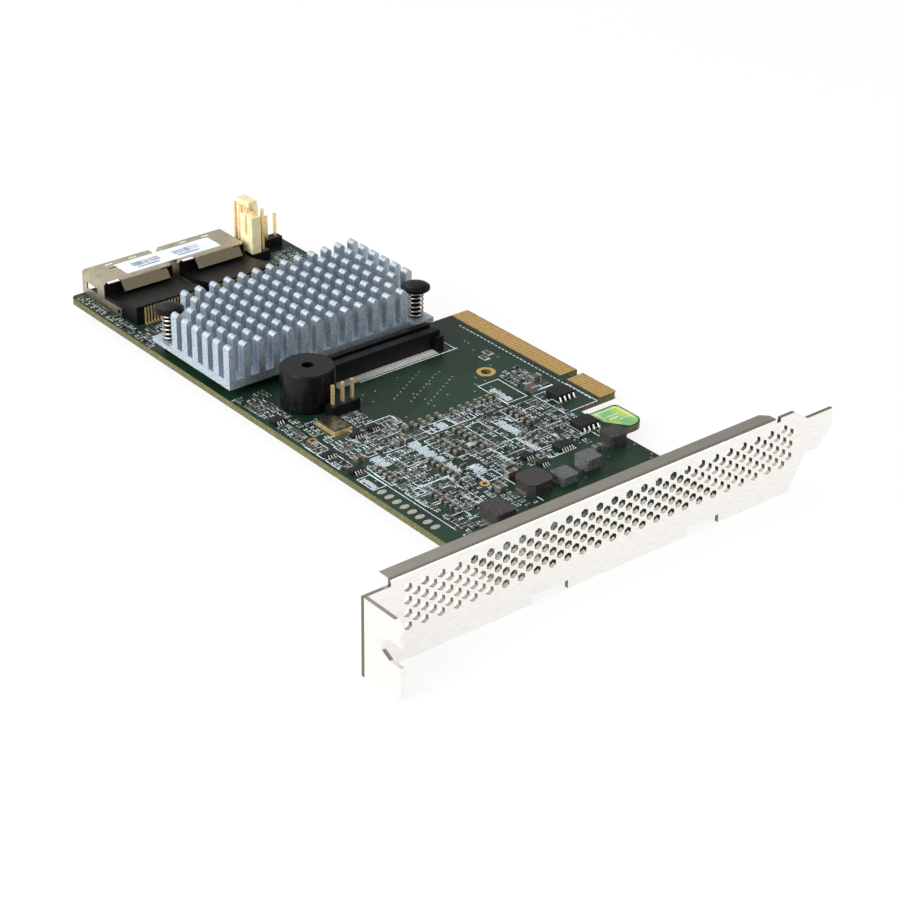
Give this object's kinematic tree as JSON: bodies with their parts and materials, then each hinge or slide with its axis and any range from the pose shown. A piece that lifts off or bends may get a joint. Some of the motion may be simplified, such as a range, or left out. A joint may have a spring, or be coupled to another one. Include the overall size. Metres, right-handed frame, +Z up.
{
  "type": "storage controller card",
  "caption": "Low-profile storage controller card on a full-height perforated bracket, with a pin-fin heat sink, rear-facing cable ports and an edge connector.",
  "frame": {"origin": "centre line of the key notch at the ends of the edge fingers, on the component face of the board", "axes": "+X out of the edge fingers, +Y from the bracket towards the cable ports, +Z up out of the component face"},
  "size_m": [0.12, 0.1722, 0.0184],
  "materials": {
    "bracket": "nickel-plated sheet steel",
    "bracket_screws": "plated steel",
    "buzzer": "moulded case",
    "buzzer_leads": "tinned leads",
    "circuit_board": "solder-masked glass-fibre laminate",
    "controller_chip": "moulded package",
    "crystal_base": "gold-plated seal ring on ceramic",
    "crystal_lid": "nickel-plated lid",
    "dark_inductors": "pressed iron-powder blocks",
    "decoupling_capacitors": "ceramic bodies",
    "edge_contacts_bottom": "gold-plated copper",
    "edge_contacts_top": "gold-plated copper",
    "front_shunt": "ivory moulding",
    "grey_inductors": "pressed iron-powder blocks",
    "heat_sink": "clear anodised extrusion",
    "jumper_header_base": "moulded base",
    "jumper_header_pins": "gold-plated pins",
    "large_capacitors": "ceramic bodies",
    "led_header_base": "moulded base",
    "led_header_pins": "gold-plated pins",
    "logic_chip_leads": "tinned leads",
    "logic_chips": "moulded packages",
    "memory_chip_leads": "tinned leads",
    "memory_chips": "moulded packages",
    "memory_packages": "moulded packages",
    "mezzanine_connector": "moulded insulator",
    "mezzanine_leads": "tinned leads",
    "plated_rings": "gold-plated copper",
    "port_label": "paper label",
    "push_pin_springs": "spring wire",
    "push_pins": "moulded nylon",
    "rear_shunt": "ivory moulding",
    "sas_block_left": "glass-filled moulding",
    "sas_block_right": "glass-filled moulding",
    "sas_leads_left": "gold-plated contacts",
    "sas_leads_right": "gold-plated contacts",
    "sas_shell_left": "nickel-plated sheet",
    "sas_shell_right": "nickel-plated sheet",
    "small_capacitors": "ceramic bodies",
    "tall_header_base": "moulded base",
    "tall_header_pins": "gold-plated pins",
    "thermal_pad": "silicone pad"
  },
  "bodies": {
    "root": {"bracket": "bracket", "bracket_screws": "bracket_screws", "buzzer": "buzzer", "buzzer_leads": "buzzer_leads", "circuit_board": "circuit_board", "controller_chip": "controller_chip", "crystal_base": "crystal_base", "crystal_lid": "crystal_lid", "dark_inductors": "dark_inductors", "decoupling_capacitors": "decoupling_capacitors", "edge_contacts_bottom": "edge_contacts_bottom", "edge_contacts_top": "edge_contacts_top", "front_shunt": "front_shunt", "grey_inductors": "grey_inductors", "heat_sink": "heat_sink", "jumper_header_base": "jumper_header_base", "jumper_header_pins": "jumper_header_pins", "large_capacitors": "large_capacitors", "led_header_base": "led_header_base", "led_header_pins": "led_header_pins", "logic_chip_leads": "logic_chip_leads", "logic_chips": "logic_chips", "memory_chip_leads": "memory_chip_leads", "memory_chips": "memory_chips", "memory_packages": "memory_packages", "mezzanine_connector": "mezzanine_connector", "mezzanine_leads": "mezzanine_leads", "plated_rings": "plated_rings", "port_label": "port_label", "push_pin_springs": "push_pin_springs", "push_pins": "push_pins", "rear_shunt": "rear_shunt", "sas_block_left": "sas_block_left", "sas_block_right": "sas_block_right", "sas_leads_left": "sas_leads_left", "sas_leads_right": "sas_leads_right", "sas_shell_left": "sas_shell_left", "sas_shell_right": "sas_shell_right", "small_capacitors": "small_capacitors", "tall_header_base": "tall_header_base", "tall_header_pins": "tall_header_pins", "thermal_pad": "thermal_pad"}
  },
  "joints": []
}
